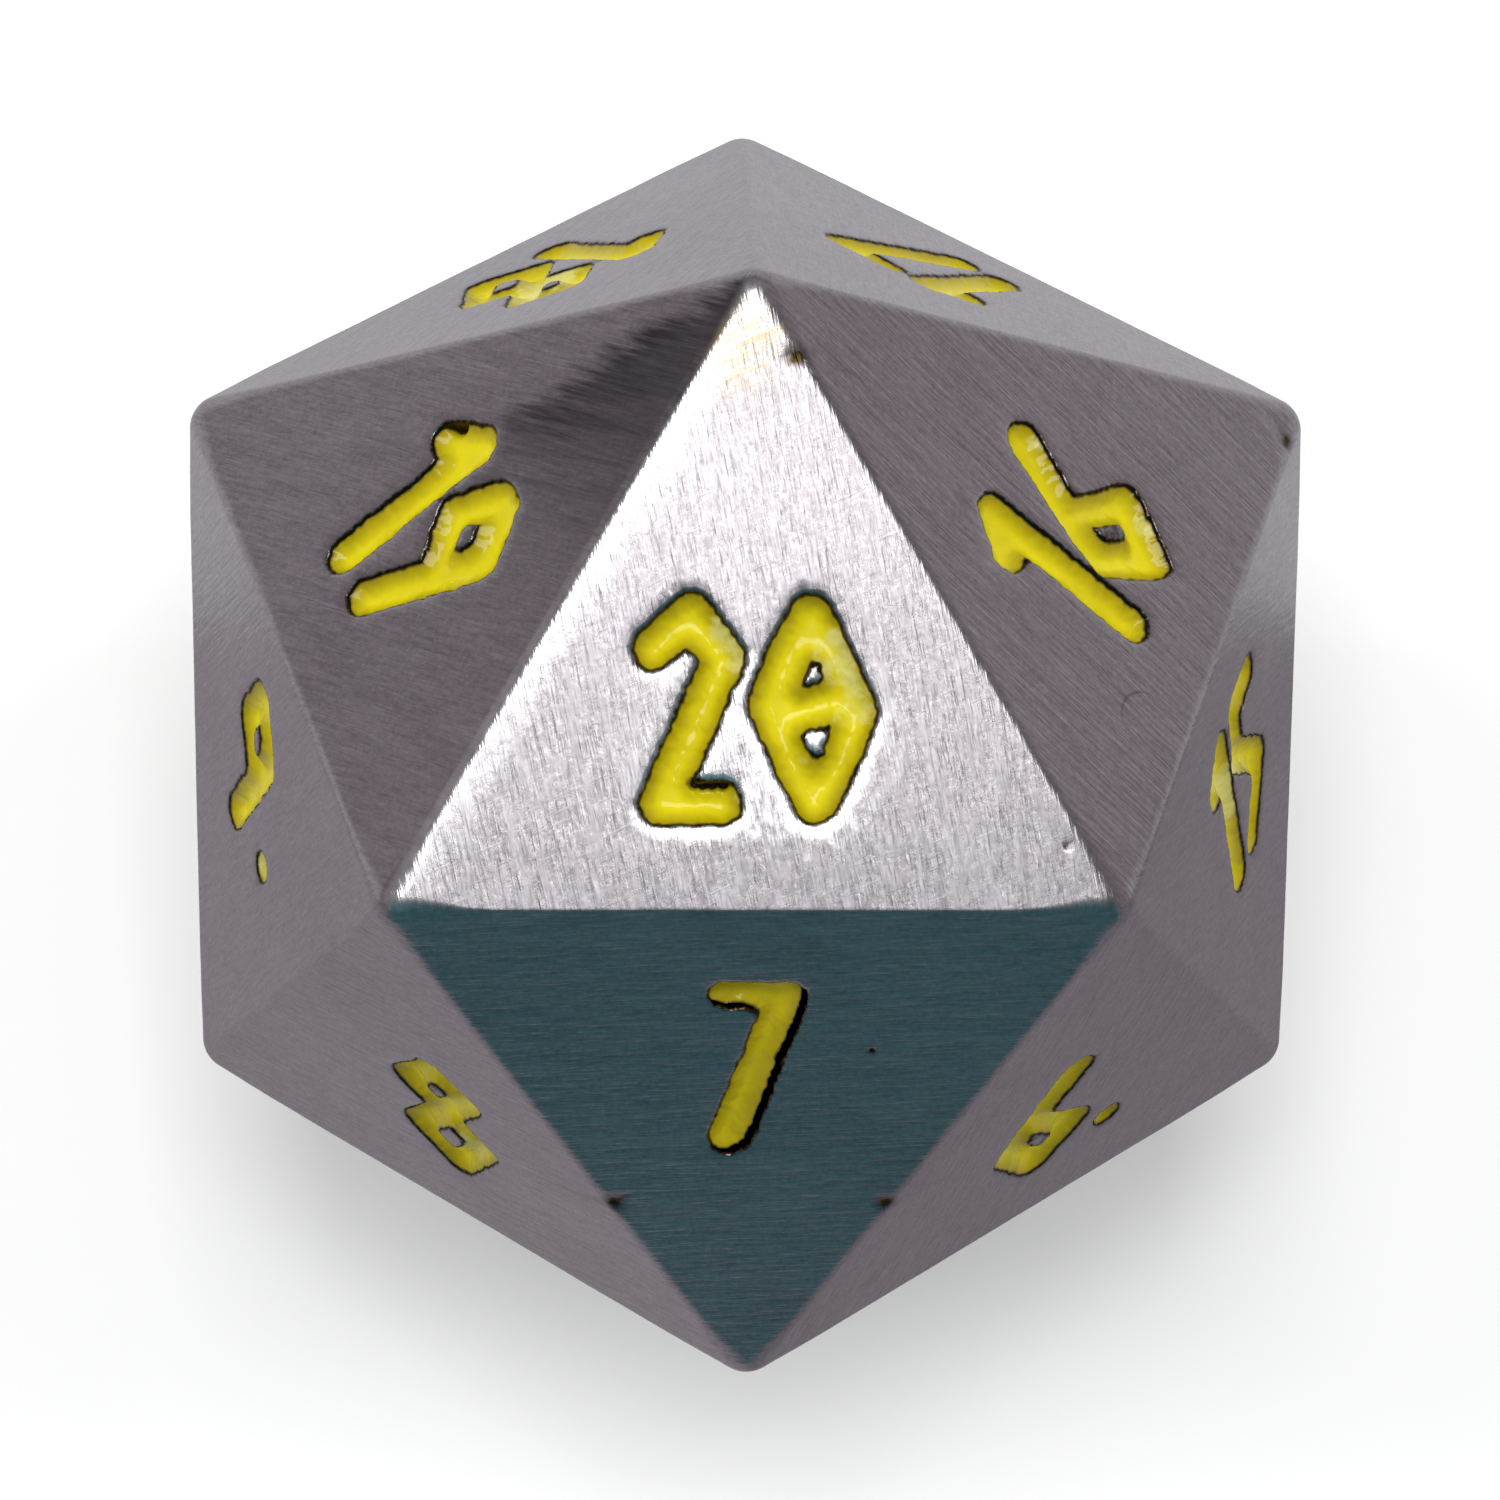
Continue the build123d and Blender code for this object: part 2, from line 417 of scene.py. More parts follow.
def dent_points(flat, border):
    """A square of extra points round each dent that reaches a flat, as wide as 4.8 of the
    dent's radii, without the points that would be on the border or past it."""
    found = []
    for value, x, y, radius, _ in dents:
        spot = axes[flat] @ spot_on(value, x, y)
        if flat_height - spot[2] < DENT_BELOW:
            square = spot[:2] + radius * dent_pattern
            found.append(square[inside_loop(square, border * INSIDE_BORDER)])
    return found


def dented(points):
    """The points, each moved inwards by every dent's depth times a bell curve, and how
    far into a dent each one is."""
    most = np.zeros(len(points))
    for value, x, y, radius, depth in dents:
        spot = spot_on(value, x, y)
        near = np.exp(-((np.linalg.norm(points - spot, axis=1) / radius) ** 2))
        points = points - depth * near[:, None] * unit(spot)
        most = np.maximum(most, near)
    return points, most


# %% [markdown]
# Each flat is one sheet: its border follows the eased edges, and lines of equal distance
# carry the rim down into every groove. The rim dips a little before the wall begins, as
# brushed metal does at a cut. The wall is steep and the floor is hidden under the enamel.

# %% The borders of the flats
# Distance from the outline, height there, and how many grid steps apart its points are.
RIM = (
    (0.32, 0.0, 4),
    (0.11, 0.0, 2),
    (0.025, -0.011, 2),
    (0.0, -0.035, 1),
    (-0.03, -0.10, 1),
    (-0.055, -0.45, 1),
)
BORDER_GAP = 0.05
FAR_FROM_GROOVES = 1.0


def flat_border(flat):
    """The line where a flat meets its three eased edges: the edges of the three strips,
    each joined to the end of the one before, turned round if its far end is nearer."""
    runs = []
    for sides, points in strips:
        if flat in sides:
            run = points[:, 0] if sides[0] == flat else points[:, -1]
            runs.append((run @ axes[flat].T)[:, :2])
    while len(runs) > 1:
        rest = runs[1:]
        end = runs[0][-1]
        gaps = [min(np.linalg.norm(r[0] - end), np.linalg.norm(r[-1] - end)) for r in rest]
        following = rest.pop(int(np.argmin(gaps)))
        if np.linalg.norm(following[-1] - end) < np.linalg.norm(following[0] - end):
            following = following[::-1]
        runs = [np.vstack([runs[0], following[1:]])] + rest
    return runs[0][:-1]


print("points on the first flat's border", len(flat_border(0)))


# %% The engraved flats
def engraved_flat(flat):
    """Points, triangles and distance from the groove, over one flat. The height of a point
    is read from the rim's table at its distance."""
    field = np.minimum.reduce([fields[name] for name, (own, _) in grooves.items() if own == flat])
    border = flat_border(flat)
    inner_border = border * (1 - BORDER_GAP / np.linalg.norm(border, axis=1, keepdims=True))
    loop = np.arange(len(border))
    loop_links = np.stack([loop, np.roll(loop, -1)], axis=1)
    squares = dent_points(flat, border)
    rims = [contour(field, level, step) for level, _, step in RIM]
    point_sets = [border, inner_border, *squares, *(points for points, _ in rims)]
    link_sets = [loop_links, loop_links, *(NO_LINKS for _ in squares), *(links for _, links in rims)]
    points, triangles = triangulated(point_sets, link_sets)
    # The border waves, so triangles with all three points on it lie outside the flat.
    triangles = triangles[(triangles >= len(border)).any(axis=1)]
    near = (np.abs(points) < GRID_HALF).all(axis=1)
    distance = np.where(near, field_at(field, points), FAR_FROM_GROOVES)
    levels, rim_heights, _ = zip(*reversed(RIM))
    heights = np.interp(distance, levels, rim_heights)
    return on_flat(flat, points, heights), counter_clockwise(points, triangles), distance


sheets = [engraved_flat(flat) for flat in range(len(flats))]
print("triangles on the flats", sum(len(triangles) for _, triangles, _ in sheets))

# %% [markdown]
# The real body is one lump of metal. The sheets, strips and patches share their border
# points, so the body is put together by merging points that coincide. The result is one
# closed skin. Each point also carries its distance from a groove and how far it is into
# a dent, which the finish reads later.


# %% Meshes from arrays
MERGE_REACH = 0.0002


def new_piece(name, points, faces, numbers):
    """A mesh object from points in millimetres, with a number on each point."""
    mesh = bpy.data.meshes.new(name)
    mesh.from_pydata((points + middle) * MM, [], faces)
    mesh.attributes.new("from_groove", "FLOAT", "POINT").data.foreach_set("value", numbers)
    piece = bpy.data.objects.new(name, mesh)
    bpy.context.scene.collection.objects.link(piece)
    return piece


def merged(piece):
    """Joins points that coincide, turns all faces outwards and shades them smooth."""
    shape = bmesh.new()
    shape.from_mesh(piece.data)
    bmesh.ops.remove_doubles(shape, verts=shape.verts, dist=MERGE_REACH * MM)
    bmesh.ops.recalc_face_normals(shape, faces=shape.faces)
    open_sides = sum(len(side.link_faces) != 2 for side in shape.edges)
    shape.to_mesh(piece.data)
    shape.free()
    piece.data.shade_smooth()
    print(piece.name, "faces", len(piece.data.polygons), "open sides", open_sides)


# %% The metal body
def grid_faces(rows, columns):
    """Quads of a grid of points, row by row."""
    index = np.arange(rows * columns).reshape(rows, columns)
    return np.stack([index[:-1, :-1], index[:-1, 1:], index[1:, 1:], index[1:, :-1]], -1).reshape(-1, 4)


def grid_shell(points):
    """A grid of points as a list of points, its quads, and a number that means far from
    every groove."""
    rows, columns, _ = points.shape
    far = np.full(rows * columns, FAR_FROM_GROOVES)
    return points.reshape(-1, 3), grid_faces(rows, columns), far


def gathered(parts):
    """One list of points, faces and numbers from many."""
    starts = np.cumsum([0] + [len(points) for points, _, _ in parts[:-1]])
    points = np.concatenate([part[0] for part in parts])
    faces = [face for part, start in zip(parts, starts) for face in (part[1] + start).tolist()]
    return points, faces, np.concatenate([part[2] for part in parts])


grids = [points for _, points in strips] + corner_patches
skin_points, skin_faces, from_groove = gathered(sheets + [grid_shell(grid) for grid in grids])
skin_points, in_dent = dented(skin_points)
body = new_piece("metal_body", skin_points, skin_faces, from_groove)
body.data.attributes.new("dent", "FLOAT", "POINT").data.foreach_set("value", in_dent)
merged(body)

# %% [markdown]
# Each flat was brushed on its own, at its own angle. A pattern on the die's own
# coordinates would run straight through all twenty, so the body carries a map: for each
# face, the place on its flat in millimetres, turned so that U runs along the brush
# strokes. A second map lays the flats side by side, each in its own cell.

# %% Maps for the brushing
# Angle of the brush strokes on some flats, in degrees. The others turn a step each.
brush_angles = {20: 101, 19: 36, 16: 84, 7: 3, 18: 30, 17: 120, 9: 60, 8: 10, 15: 150, 6: 75}
BRUSH_TURN = 37
ALONG_SHIFT = 31
ACROSS_SHIFT = 17
SHEET_COLUMNS = 5
CELL_WIDTH = 0.2
CELL_HEIGHT = 0.25
FLAT_WIDTH = 0.19
CELL_MARGIN = 0.005


def corner_places(mesh):
    """For every face corner: its place on the nearest flat, and that flat's number."""
    places = np.empty(len(mesh.vertices) * 3)
    mesh.vertices.foreach_get("co", places)
    places = places.reshape(-1, 3) / MM - middle
    centres = np.empty(len(mesh.polygons) * 3)
    mesh.polygons.foreach_get("center", centres)
    nearest = np.argmax((centres.reshape(-1, 3) / MM - middle) @ outward.T, axis=1)
    totals = np.empty(len(mesh.polygons), dtype=np.int32)
    mesh.polygons.foreach_get("loop_total", totals)
    picks = np.empty(len(mesh.loops), dtype=np.int32)
    mesh.loops.foreach_get("vertex_index", picks)
    flat = np.repeat(nearest, totals)
    return np.einsum("kij,kj->ki", axes[flat], places[picks])[:, :2], flat


def brush_map(places, flat):
    """The places turned by the angle of their flat's strokes, and shifted for each flat so
    that no two flats have the same streaks."""
    angles = [brush_angles.get(value_on[f], BRUSH_TURN * f) for f in range(len(flats))]
    turns = np.radians(angles)[flat]
    along = places[:, 0] * np.cos(turns) + places[:, 1] * np.sin(turns)
    across = places[:, 1] * np.cos(turns) - places[:, 0] * np.sin(turns)
    return np.stack([along + ALONG_SHIFT * flat, across + ACROSS_SHIFT * flat], axis=1)


def sheet_map(places, flat):
    """The places shrunk to fit a cell, each flat in its own cell of a sheet."""
    lowest = np.array([(corners[flats[f]] @ axes[f].T)[:, :2].min(axis=0) for f in range(len(flats))])
    shrunk = (places - lowest[flat]) * (FLAT_WIDTH / edge_length) + CELL_MARGIN
    cell = np.stack([flat % SHEET_COLUMNS * CELL_WIDTH, flat // SHEET_COLUMNS * CELL_HEIGHT], axis=1)
    return shrunk + cell


corner_place, corner_flat = corner_places(body.data)
for map_name, make_map in (("brush", brush_map), ("OFBake", sheet_map)):
    layer = body.data.uv_layers.new(name=map_name)
    layer.data.foreach_set("uv", make_map(corner_place, corner_flat).astype(np.float32).ravel())
print("maps", [layer.name for layer in body.data.uv_layers])

# %% [markdown]
# The enamel was poured in and shrank as it set: it clings to the groove's wall just below
# the rim and dips towards the middle of each stroke. A curve swept along the strokes would
# need care where they meet. Here the height is a function of the distance from the outline
# alone, so the valley follows every stroke and every corner by itself.

# %% The height of the enamel
ENAMEL_LEVELS = (-0.022, -0.06, -0.11)
ENAMEL_EDGE = -0.085
ENAMEL_FLOOR = -0.445
DISH_DEPTH = 0.26
STROKE_HALF = 0.42
# Numbers whose grooves were filled a little higher, and by how much.
FULLER = (18, 17, 15, 9, 8, 6)
FULLER_BY = 0.045
# Number of the flat, place on it and radius of the spots that the enamel didn't fill.
gaps = (
    (20, -1.17, -1.7, 0.12),
    (20, -1.0, -1.7, 0.14),
    (20, -0.82, -1.7, 0.14),
    (20, -0.62, -1.7, 0.13),
    (19, -2.0, 1.3, 0.26),
)
GAP_FILL = 0.03


def unfilled(flat, points):
    """1 in the middle of an unfilled spot, falling to 0 round it as a flat-topped bell."""
    found = np.zeros(len(points))
    for value, x, y, radius in gaps:
        if value == value_on[flat]:
            gap = np.linalg.norm(points - (x, y), axis=1) / radius
            found = np.maximum(found, np.exp(-(gap**4)))
    return found


def dished(distance):
    """The height at a distance: one minus a power of the share of the way to the middle
    that is left, so steep beside the wall and level in the middle of the stroke."""
    share = np.clip((ENAMEL_LEVELS[0] - distance) / (STROKE_HALF + ENAMEL_LEVELS[0]), 0, 1)
    return ENAMEL_EDGE - DISH_DEPTH * (1 - (1 - share) ** 1.5)


print("enamel in the middle of a stroke", round(float(dished(-STROKE_HALF)), 3), "mm")

# %% The enamel inlays
DRAWN_BACK_STEPS = 2
SCATTER_GAP = 0.04


def enamel_field(name):
    """A groove's field, with the enamel drawn back from the right and the foot of the 7."""
    field = fields[name]
    if name != "enamel_7":
        return field
    return np.maximum(field, np.roll(field, (DRAWN_BACK_STEPS, -DRAWN_BACK_STEPS), axis=(0, 1)))


def inlay_sheet(field):
    """Points and triangles over a groove: lines of equal distance near the wall, and the
    grid's own points further in."""
    found = [contour(field, level) for level in ENAMEL_LEVELS]
    scattered = grid_points[(field < ENAMEL_LEVELS[-1] - SCATTER_GAP).ravel()]
    point_sets = [points for points, _ in found] + [scattered]
    points, triangles = triangulated(point_sets, [links for _, links in found] + [NO_LINKS])
    middles = points[triangles].mean(axis=1)
    triangles = triangles[field_at(field, middles) < ENAMEL_LEVELS[0]]
    return points, counter_clockwise(points, triangles)


def enamel_inlay(name):
    """A closed solid: the dished top, the same triangles on a level underside, and a quad
    between the two for each side of the rim."""
    flat, _ = grooves[name]
    field = enamel_field(name)
    points, triangles = inlay_sheet(field)
    count = len(points)
    sides = np.stack([triangles, np.roll(triangles, -1, axis=1)], axis=2).reshape(-1, 2)
    rim = sides[unshared(sides)]
    wall = np.column_stack([rim[:, 1], rim[:, 0], rim[:, 0] + count, rim[:, 1] + count])
    distance = field_at(field, points)
    sunk = unfilled(flat, points)
    fuller = FULLER_BY if value_on[flat] in FULLER else 0.0
    height = (dished(distance) + fuller) * (1 - sunk) + (ENAMEL_FLOOR + GAP_FILL) * sunk
    top = on_flat(flat, points, height)
    under = on_flat(flat, points, np.full(count, ENAMEL_FLOOR))
    faces = triangles.tolist() + (triangles[:, ::-1] + count).tolist() + wall.tolist()
    return new_piece(name + "_fill", np.vstack([top, under]), faces, np.tile(distance * (1 - sunk), 2))


inlays = {name: enamel_inlay(name) for name in grooves}
for inlay in inlays.values():
    merged(inlay)
    inlay.data.set_sharp_from_angle(angle=math.radians(50))
print("inlays", len(inlays), "faces", sum(len(i.data.polygons) for i in inlays.values()))

# %% [markdown]
# Shader sums could be wired node by node, but they read best as sums. So a small class
# wraps a socket and turns Python's arithmetic into Math nodes. Every other node comes from
# one method, which the materials and the world share.


# %% Shader arithmetic
class Amount:
    """A number from a socket that can be added, multiplied and so on."""

    def __init__(self, nodes, socket):
        self.nodes = nodes
        self.socket = socket

    def combined(self, operation, *others):
        """The Math node of an operation on this number and others."""
        inputs = dict(enumerate((self, *others)))
        node = self.nodes.node("ShaderNodeMath", {"operation": operation}, inputs)
        return Amount(self.nodes, node.outputs[0])

    def __add__(self, other):
        return self.combined("ADD", other)

    def __sub__(self, other):
        return self.combined("SUBTRACT", other)

    def __rsub__(self, other):
        return (self * -1.0) + other

    def __mul__(self, other):
        return self.combined("MULTIPLY", other)

    __radd__ = __add__
    __rmul__ = __mul__

    def limited(self):
        """Kept between 0 and 1."""
        return self.combined("MAXIMUM", 0.0).combined("MINIMUM", 1.0)


class Nodes:
    """A node tree, and the one method that adds a node of any kind to it."""

    def __init__(self, tree):
        self.tree = tree

    def node(self, kind, settings=None, inputs=None):
        """A node of any kind, its settings first, then values or links for its sockets."""
        made = self.tree.nodes.new(kind)
        for key, value in (settings or {}).items():
            setattr(made, key, value)
        for key, value in (inputs or {}).items():
            self.feed(made.inputs[key], value)
        return made

    def feed(self, socket, value):
        """Links a socket, or sets its value."""
        value = getattr(value, "socket", value)
        if isinstance(value, bpy.types.NodeSocket):
            self.tree.links.new(value, socket)
        else:
            socket.default_value = value


# %% Patterns of a finish
class Finish(Nodes):
    """A node material with one Principled shader."""

    def __init__(self, name, settings):
        self.material = bpy.data.materials.new(name)
        self.material.use_nodes = True
        super().__init__(self.material.node_tree)
        self.shader = self.tree.nodes["Principled BSDF"]
        for socket, value in settings.items():
            self.set(socket, value)

    def set(self, name, value):
        """Feeds one of the shader's own sockets."""
        self.feed(self.shader.inputs[name], value)

    def attribute(self, name):
        """A number stored on the mesh's points."""
        return Amount(self, self.node("ShaderNodeAttribute", {"attribute_name": name}).outputs["Fac"])

    def noise(self, vector, scale, detail=3.0, roughness=0.55):
        """Soft random patches from 0 to 1."""
        inputs = {"Vector": vector, "Scale": scale, "Detail": detail, "Roughness": roughness}
        return Amount(self, self.node("ShaderNodeTexNoise", {}, inputs).outputs["Fac"])

    def streaks(self, vector, length, width, turn=0.0, detail=2.0):
        """Noise drawn out to a length and a width, along the first axis or turned from it."""
        inputs = {"Vector": vector, "Scale": (length, width, 1.0), "Rotation": (0, 0, math.radians(turn))}
        placed = self.node("ShaderNodeMapping", {"vector_type": "TEXTURE"}, inputs).outputs["Vector"]
        return self.noise(placed, 1.0, detail, 0.6)

    def mixed(self, amount, first, second):
        """A colour between two colours."""
        inputs = {"Factor": amount, 6: first, 7: second}
        return self.node("ShaderNodeMix", {"data_type": "RGBA"}, inputs).outputs[2]

    def bumped(self, height, strength, distance):
        """A normal tilted by a height."""
        inputs = {"Height": height, "Strength": strength, "Distance": distance}
        return self.node("ShaderNodeBump", {}, inputs).outputs["Normal"]


# %% Places on a finish
class PlacedFinish(Finish):
    """A finish that knows where it is on the die."""

    def place(self):
        """The place on the object, in metres, as a vector."""
        return self.node("ShaderNodeTexCoord").outputs["Object"]

    def compared(self, operation, vector):
        """The number that a Vector Math node makes of the place and another vector."""
        inputs = {0: self.place(), 1: tuple(vector)}
        node = self.node("ShaderNodeVectorMath", {"operation": operation}, inputs)
        return Amount(self, node.outputs["Value"])

    def distance(self, value, x, y):
        """Millimetres from a place on a number's flat."""
        return self.compared("DISTANCE", (spot_on(value, x, y) + middle) * MM) * (1 / MM)

    def nearness(self, value, x, y, radius):
        """1 at a place on a number's flat, falling evenly to 0 at a radius."""
        return (1.0 - self.distance(value, x, y) * (1 / radius)).limited()

    def measured(self, value, angle):
        """Millimetres from the middle of a number's flat, along an angle on it."""
        turn = math.radians(angle)
        rightward, upright, _ = axes[flat_of[value]]
        along = rightward * math.cos(turn) + upright * math.sin(turn)
        return self.compared("DOT_PRODUCT", along / MM) - float(along @ middle)

    def raised(self, value):
        """Millimetres above a number's flat, so negative everywhere else on the die."""
        direction = outward[flat_of[value]]
        above = self.compared("DOT_PRODUCT", direction / MM)
        return above - float(direction @ middle + flat_height)


# %% [markdown]
# Brushed steel is thousands of fine parallel scratches. A picture of them would repeat, so
# noise is drawn out along U instead: hairs half a millimetre long and 0.04 mm wide, finer
# and broader streaks, and some that cross the rest. Soft noises add a mottled, leathery
# unevenness, and a very small one adds grain.

# %% Steel: streaks and noises
steel = PlacedFinish("brushed_steel", {"Metallic": 1.0})
brush = steel.node("ShaderNodeUVMap", {"uv_map": "brush"}).outputs["UV"]
hair = steel.streaks(brush, length=0.5, width=0.04)
fine = steel.streaks(brush, length=1.2, width=0.1)
broad = steel.streaks(brush, length=2.8, width=0.38, detail=3.0)
crossing = steel.streaks(brush, length=1.3, width=0.09, turn=-77.0)
leather = steel.noise(brush, scale=2.6, detail=5.0, roughness=0.65)
clouds = steel.noise(steel.place(), scale=260.0, detail=4.0, roughness=0.6)
grain = steel.noise(steel.place(), scale=9000.0, detail=2.0, roughness=0.6)
stray = ((crossing - 0.58) * 5.0).limited()
print("steel patterns", len(steel.tree.nodes), "nodes")

# %% Steel: the colour of the brushed metal
DARK_STEEL = (0.19, 0.175, 0.186, 1)
PALE_STEEL = (0.37, 0.35, 0.365, 1)
lines = (hair - 0.5) * 1.1 + (fine - 0.5) * 0.8
tone = (lines + (broad - 0.5) * 0.5 + (clouds - 0.5) * 0.5 + (grain - 0.5) * 0.9 + 0.5).limited()
metal_colour = steel.mixed(tone, DARK_STEEL, PALE_STEEL)
print("steel with its colour", len(steel.tree.nodes), "nodes")

# %% [markdown]
# The 20 was rubbed most. Its near-white halo round the digits and its bright left side
# are a painted highlight, partly burnished metal. Both are masks: the first falls with the
# distance from a groove, the second rises towards that side, and noise frays them.

# %% Steel: the painted highlight where the 20 is rubbed bright
# Painted highlight: near-white colour round the 20's digits and along its left side, partly burnished
# metal.
BURNISHED_HIGHLIGHT = (0.8, 0.78, 0.79, 1)
highlight_halo = 1.05 - steel.attribute("from_groove") * 2.6 + (leather - 0.5) * 2.2 + (hair - 0.5) * 1.2
highlight_halo = highlight_halo.limited() * (steel.nearness(20, x=0.4, y=-1.9, radius=3.4) * 1.6).limited()
side_highlight = ((steel.measured(20, angle=150.0) - 3.45 + (leather - 0.5) * 1.6) * 1.1).limited()
side_highlight = side_highlight * ((steel.raised(20) + 0.15) * 10.0).limited()
metal_colour = steel.mixed((highlight_halo * 0.9 + side_highlight * 0.5).limited(), metal_colour, BURNISHED_HIGHLIGHT)
print("steel with the rubbed parts", len(steel.tree.nodes), "nodes")

# %% [markdown]
# A painted dark reflection lies on the 19, streaked along the brushing. The marks of use are a
# small curled scratch on the 16 and a tan stain at the top of the 20. Each is a colour laid over
# the metal through its own mask, so one can be moved or left out without touching the rest.

# %% Steel: painted dark reflection, scratch and stain
# Dark colour for the painted reflection on the 19 and for the curled scratch on the 16.
DARK_SCRATCH_AND_REFLECTION = (0.06, 0.056, 0.06, 1)
TAN_STAIN = (0.36, 0.27, 0.17, 1)
CURL_RADIUS = 0.7
CURL_HALF_WIDTH = 0.045
frayed = (broad - 0.5) * 1.6 + (fine - 0.5) * 1.2
# Painted dark reflection on the upper part of the 19, streaked along the brushing.
dark_reflection = ((steel.measured(19, angle=-10.0) + 1.85 + frayed) * 1.6).limited()
dark_reflection = dark_reflection * ((steel.measured(19, angle=90.0) - 0.6 + frayed * 2.0) * 0.3).limited()
dark_reflection = dark_reflection * ((steel.raised(19) + 0.06) * 20.0).limited()
dark_reflection = dark_reflection * (0.7 - steel.measured(19, angle=-10.0) * 0.14 + frayed * 0.5).limited()
metal_colour = steel.mixed(dark_reflection, metal_colour, DARK_SCRATCH_AND_REFLECTION)
off_curl = (steel.distance(16, x=-2.9, y=-3.25) - CURL_RADIUS).combined("ABSOLUTE")
curl = ((CURL_HALF_WIDTH - off_curl) * 30.0).limited()
curl = curl * (steel.nearness(16, x=-2.6, y=-2.5, radius=0.8) * 2.0).limited()
metal_colour = steel.mixed(curl * 0.45, metal_colour, DARK_SCRATCH_AND_REFLECTION)
stain = steel.nearness(20, x=-0.3, y=7.0, radius=1.3) * 2.2
stain = (stain * ((crossing - 0.42) * 6.0).limited() * (leather + 0.2)).limited()
stain = stain * ((steel.raised(20) + 0.1) * 14.0).limited()
metal_colour = steel.mixed(stain * 0.85, metal_colour, TAN_STAIN)
print("steel with the marks of use", len(steel.tree.nodes), "nodes")

# %% [markdown]
# The dents are coloured dark brown. The grooves' walls are brown too: painted shade, partly
# metal burnt by the cutter. The relief of the scratches is counted in hundredths of a
# millimetre. That is too small to model as mesh, but enough to draw the highlights out across
# the brushing.

# %% Steel: dents, groove walls and relief
GROOVE_BROWN = (0.036, 0.025, 0.01, 1)
SHADED_WALL_REACH = 0.052
SCRATCH_DEPTH = 0.01 * MM
# The dents are coloured dark brown.
metal_colour = steel.mixed((steel.attribute("dent") * 1.6).limited(), metal_colour, GROOVE_BROWN)
# Painted shade: the grooves' walls are darkened brown, partly burnt metal.
wall_shade_and_burn = ((SHADED_WALL_REACH - steel.attribute("from_groove") + (grain - 0.5) * 0.09) * 20.0).limited()
steel.set("Base Color", steel.mixed(wall_shade_and_burn, metal_colour, GROOVE_BROWN))
steel.set("Roughness", (0.27 + (broad - 0.5) * 0.12 + (leather - 0.5) * 0.12 + stray * 0.05).limited())
relief = hair * 0.6 + fine * 1.5 + stray * 0.06 + grain * 0.1 + leather * 0.45 + broad * 1.5
steel.set("Normal", steel.bumped(relief, strength=0.8, distance=SCRATCH_DEPTH))
print("brushed steel", len(steel.tree.nodes), "nodes")

# %% [markdown]
# The enamel is a glossy acid yellow. Towards the wall it is olive, painted shade partly from
# thin enamel. Where it meets the metal it is brown, a painted shadow partly from dirt, so its
# colour follows the distance from the outline. A clear coat gives the wet highlights, and a
# slow noise keeps the gloss uneven.

# %% Enamel: colour from the wall inwards
ENAMEL_YELLOW = (0.66, 0.57, 0.002, 1)
ENAMEL_OLIVE_AND_SHADE = (0.27, 0.205, 0.001, 1)
ENAMEL_EDGE_SHADOW = (0.022, 0.013, 0.001, 1)
enamel_gloss = {"Coat Weight": 0.35, "Coat Roughness": 0.06, "Specular IOR Level": 0.1}
enamel = PlacedFinish("yellow_enamel", enamel_gloss)
inside = enamel.attribute("from_groove") * -1.0
pools = enamel.noise(enamel.place(), scale=700.0, detail=3.0, roughness=0.55)
specks = enamel.noise(enamel.place(), scale=4200.0, detail=2.0, roughness=0.5)
# Painted shade: the enamel turns olive towards the groove's wall, partly thin enamel.
shaded_thin_enamel = (1.0 - (inside - 0.05 + (pools - 0.5) * 0.25) * 3.5).limited()
# Painted shadow: a brown line where the enamel meets the metal, partly dirt.
edge = ((0.06 - inside + (specks - 0.5) * 0.06) * 26.0).limited()
enamel_colour = enamel.mixed((pools * 1.8 - 0.7).limited() * 0.5, ENAMEL_YELLOW, ENAMEL_OLIVE_AND_SHADE)
enamel_colour = enamel.mixed(shaded_thin_enamel * 0.9, enamel_colour, ENAMEL_OLIVE_AND_SHADE)
print("enamel with its colour", len(enamel.tree.nodes), "nodes")

# %% [markdown]
# The pale spots on the enamel are painted highlights, partly gloss rubbed off by fingers and
# tables. They are round masks added together, and small flecks break up their outlines.

# %% Enamel: painted highlights, worn gloss and relief
ENAMEL_HIGHLIGHT_PALE = (0.62, 0.60, 0.22, 1)
ENAMEL_RELIEF = 0.06 * MM
# Number of the flat, place on it and radius of each spot.
highlight_spots = (
    (20, -0.72, 1.3, 0.55),
    (20, -0.43, 0.75, 0.5),
    (20, 1.48, 1.05, 0.65),
    (20, 1.8, 0.4, 0.6),
    (20, 2.0, -0.25, 0.6),
    (20, 0.85, -1.25, 0.35),
    (20, -0.4, -2.0, 0.25),
    (16, 1.3, 1.3, 0.4),
    (16, 0.9, 0.7, 0.35),
    (16, 1.5, -1.7, 0.45),
    (9, 0.6, -1.0, 1.2),
    (15, -0.6, 0.4, 1.3),
    (18, 0.6, 0.3, 1.3),
    (8, 0.4, -0.8, 0.9),
)
# Painted highlight: pale spots on the enamel, partly worn gloss.
worn = sum(enamel.nearness(*spot) for spot in highlight_spots)
flecks = enamel.noise(enamel.place(), scale=2600.0, detail=3.0, roughness=0.65)
highlight_and_wear = ((worn * 1.5 + (flecks - 0.5) * 1.8 - 0.4) * 2.2).limited()
enamel_colour = enamel.mixed(highlight_and_wear * 0.6, enamel_colour, ENAMEL_HIGHLIGHT_PALE)
enamel.set("Base Color", enamel.mixed(edge, enamel_colour, ENAMEL_EDGE_SHADOW))
enamel.set("Roughness", (0.3 + pools * 0.2 + highlight_and_wear * 0.3).limited())
relief = pools * 0.9 + specks * 0.1 + highlight_and_wear * 0.2
enamel.set("Normal", enamel.bumped(relief, strength=0.3, distance=ENAMEL_RELIEF))
print("yellow enamel", len(enamel.tree.nodes), "nodes")

